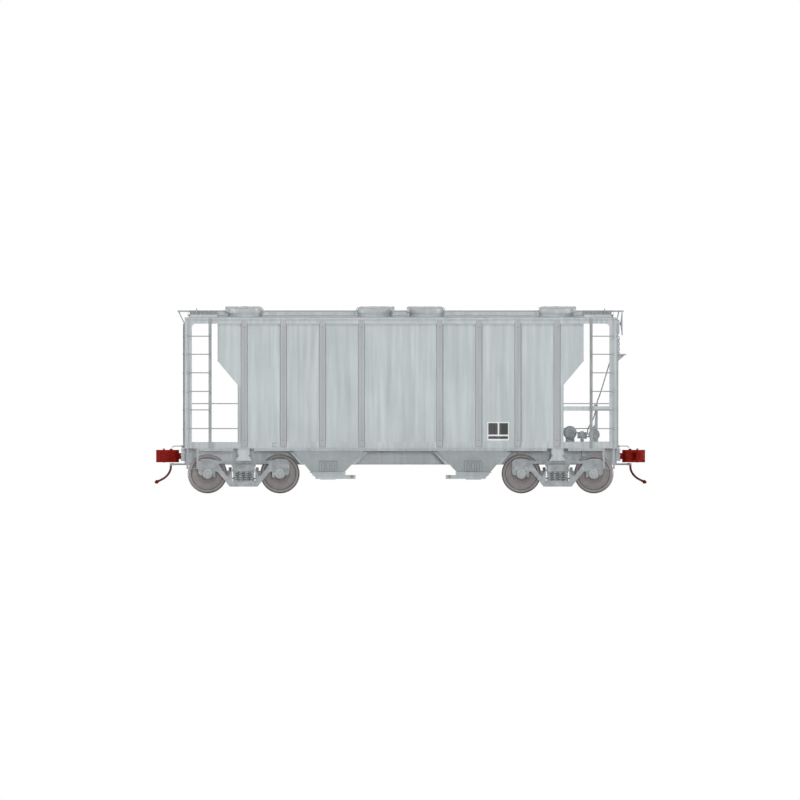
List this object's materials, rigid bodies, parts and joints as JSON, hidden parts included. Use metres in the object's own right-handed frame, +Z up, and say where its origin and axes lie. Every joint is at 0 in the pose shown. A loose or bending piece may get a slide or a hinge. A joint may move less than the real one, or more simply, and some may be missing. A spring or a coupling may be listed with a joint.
{
  "type": "covered hopper car",
  "caption": "Covered hopper railway car: ribbed sides, sloped bays with sliding outlet gates, round roof hatches on hinges, knuckle couplers and swivelling trucks.",
  "frame": {"origin": "middle of the car at the bottom of the wheel flanges", "axes": "+X along the car towards the hand brake end, +Z up, Y across"},
  "size_m": [12.0534, 3.225, 4.5855],
  "materials": {
    "body_paint": "weathered",
    "roof_paint": "weathered",
    "walk_grating": "galvanised",
    "truck_paint": "weathered",
    "wheel_steel": "rolled",
    "spring_steel": "forged",
    "coupler_steel": "rusty",
    "hose_rubber": "matte",
    "brake_iron": "painted"
  },
  "bodies": {
    "car_body": {"air_hose_a": "hose_rubber", "air_hose_b": "hose_rubber", "body_bolster_a": "body_paint", "body_bolster_b": "body_paint", "brake_cylinder": "brake_iron", "brake_platform": "body_paint", "brake_reservoir": "brake_iron", "center_sill": "body_paint", "control_valve": "brake_iron", "corner_posts": "body_paint", "end_plates": "body_paint", "end_posts": "body_paint", "end_sheet_a": "body_paint", "end_sheet_b": "body_paint", "end_sills": "body_paint", "glad_hand_a": "coupler_steel", "glad_hand_b": "coupler_steel", "grab_irons": "body_paint", "hand_brake_housing": "body_paint", "hopper_a": "body_paint", "hopper_b": "body_paint", "ladders": "body_paint", "ridge_sheets": "body_paint", "roof_left": "roof_paint", "roof_right": "roof_paint", "running_boards": "walk_grating", "side_left": "body_paint", "side_right": "body_paint", "side_sills": "body_paint", "sill_steps": "body_paint", "top_chords": "body_paint", "train_pipe": "brake_iron"},
    "hatch_lid_1_left": {"hatch_lid_1_left": "roof_paint"},
    "hatch_lid_1_right": {"hatch_lid_1_right": "roof_paint"},
    "hatch_lid_2_left": {"hatch_lid_2_left": "roof_paint"},
    "hatch_lid_2_right": {"hatch_lid_2_right": "roof_paint"},
    "hatch_lid_3_left": {"hatch_lid_3_left": "roof_paint"},
    "hatch_lid_3_right": {"hatch_lid_3_right": "roof_paint"},
    "hatch_lid_4_left": {"hatch_lid_4_left": "roof_paint"},
    "hatch_lid_4_right": {"hatch_lid_4_right": "roof_paint"},
    "outlet_gate_a": {"outlet_gate_a": "body_paint"},
    "truck_a": {"side_frames_a": "truck_paint", "truck_bolster_a": "truck_paint", "truck_springs_a": "spring_steel", "brake_beams_a": "truck_paint"},
    "wheelset_a_outer": {"wheelset_a_outer": "wheel_steel"},
    "wheelset_a_inner": {"wheelset_a_inner": "wheel_steel"},
    "coupler_a": {"coupler_a": "coupler_steel"},
    "knuckle_a": {"knuckle_a": "coupler_steel"},
    "outlet_gate_b": {"outlet_gate_b": "body_paint"},
    "truck_b": {"side_frames_b": "truck_paint", "truck_bolster_b": "truck_paint", "truck_springs_b": "spring_steel", "brake_beams_b": "truck_paint"},
    "wheelset_b_outer": {"wheelset_b_outer": "wheel_steel"},
    "wheelset_b_inner": {"wheelset_b_inner": "wheel_steel"},
    "coupler_b": {"coupler_b": "coupler_steel"},
    "knuckle_b": {"knuckle_b": "coupler_steel"},
    "hand_brake_wheel": {"hand_brake_wheel": "body_paint"}
  },
  "joints": [
    {"name": "hatch_1_left_hinge", "type": "hinge", "parent": "car_body", "child": "hatch_lid_1_left", "pos_m": [-3.355, 0.84925, 4.44005], "axis": [0, 0.999, -0.0448], "range_deg": [0, 155]},
    {"name": "hatch_1_right_hinge", "type": "hinge", "parent": "car_body", "child": "hatch_lid_1_right", "pos_m": [-3.355, -0.84925, 4.44005], "axis": [0, 0.999, 0.0448], "range_deg": [0, 155]},
    {"name": "hatch_2_left_hinge", "type": "hinge", "parent": "car_body", "child": "hatch_lid_2_left", "pos_m": [-1.092, 0.84925, 4.44005], "axis": [0, -0.999, 0.0448], "range_deg": [0, 155]},
    {"name": "hatch_2_right_hinge", "type": "hinge", "parent": "car_body", "child": "hatch_lid_2_right", "pos_m": [-1.092, -0.84925, 4.44005], "axis": [0, -0.999, -0.0448], "range_deg": [0, 155]},
    {"name": "hatch_3_left_hinge", "type": "hinge", "parent": "car_body", "child": "hatch_lid_3_left", "pos_m": [1.092, 0.84925, 4.44005], "axis": [0, 0.999, -0.0448], "range_deg": [0, 155]},
    {"name": "hatch_3_right_hinge", "type": "hinge", "parent": "car_body", "child": "hatch_lid_3_right", "pos_m": [1.092, -0.84925, 4.44005], "axis": [0, 0.999, 0.0448], "range_deg": [0, 155]},
    {"name": "hatch_4_left_hinge", "type": "hinge", "parent": "car_body", "child": "hatch_lid_4_left", "pos_m": [3.355, 0.84925, 4.44005], "axis": [0, -0.999, 0.0448], "range_deg": [0, 155]},
    {"name": "hatch_4_right_hinge", "type": "hinge", "parent": "car_body", "child": "hatch_lid_4_right", "pos_m": [3.355, -0.84925, 4.44005], "axis": [0, -0.999, -0.0448], "range_deg": [0, 155]},
    {"name": "outlet_gate_a_slide", "type": "slide", "parent": "car_body", "child": "outlet_gate_a", "axis": [1, 0, 0], "range_m": [0, 0.69]},
    {"name": "truck_a_swivel", "type": "hinge", "parent": "car_body", "child": "truck_a", "pos_m": [-3.845, 0, 0.66], "axis": [0, 0, 1], "range_deg": [-8, 8]},
    {"name": "wheelset_a_outer_spin", "type": "hinge", "parent": "truck_a", "child": "wheelset_a_outer", "pos_m": [-4.734, 0, 0.4825], "axis": [0, 1, 0], "continuous": true},
    {"name": "wheelset_a_inner_spin", "type": "hinge", "parent": "truck_a", "child": "wheelset_a_inner", "pos_m": [-2.956, 0, 0.4825], "axis": [0, 1, 0], "continuous": true},
    {"name": "coupler_a_swing", "type": "hinge", "parent": "car_body", "child": "coupler_a", "pos_m": [-4.8, 0, 0.914], "axis": [0, 0, 1], "range_deg": [-8, 8]},
    {"name": "knuckle_a_hinge", "type": "hinge", "parent": "coupler_a", "child": "knuckle_a", "pos_m": [-5.8, 0.15, 0.914], "axis": [0, 0, 1], "range_deg": [-45, 0]},
    {"name": "outlet_gate_b_slide", "type": "slide", "parent": "car_body", "child": "outlet_gate_b", "axis": [-1, 0, 0], "range_m": [0, 0.69]},
    {"name": "truck_b_swivel", "type": "hinge", "parent": "car_body", "child": "truck_b", "pos_m": [3.845, 0, 0.66], "axis": [0, 0, 1], "range_deg": [-8, 8]},
    {"name": "wheelset_b_outer_spin", "type": "hinge", "parent": "truck_b", "child": "wheelset_b_outer", "pos_m": [4.734, 0, 0.4825], "axis": [0, 1, 0], "continuous": true},
    {"name": "wheelset_b_inner_spin", "type": "hinge", "parent": "truck_b", "child": "wheelset_b_inner", "pos_m": [2.956, 0, 0.4825], "axis": [0, 1, 0], "continuous": true},
    {"name": "coupler_b_swing", "type": "hinge", "parent": "car_body", "child": "coupler_b", "pos_m": [4.8, 0, 0.914], "axis": [0, 0, 1], "range_deg": [-8, 8]},
    {"name": "knuckle_b_hinge", "type": "hinge", "parent": "coupler_b", "child": "knuckle_b", "pos_m": [5.8, -0.15, 0.914], "axis": [0, 0, 1], "range_deg": [-45, 0]},
    {"name": "hand_brake_wheel_spin", "type": "hinge", "parent": "car_body", "child": "hand_brake_wheel", "pos_m": [5.4, -0.4, 4.155], "axis": [1, 0, 0], "continuous": true}
  ]
}
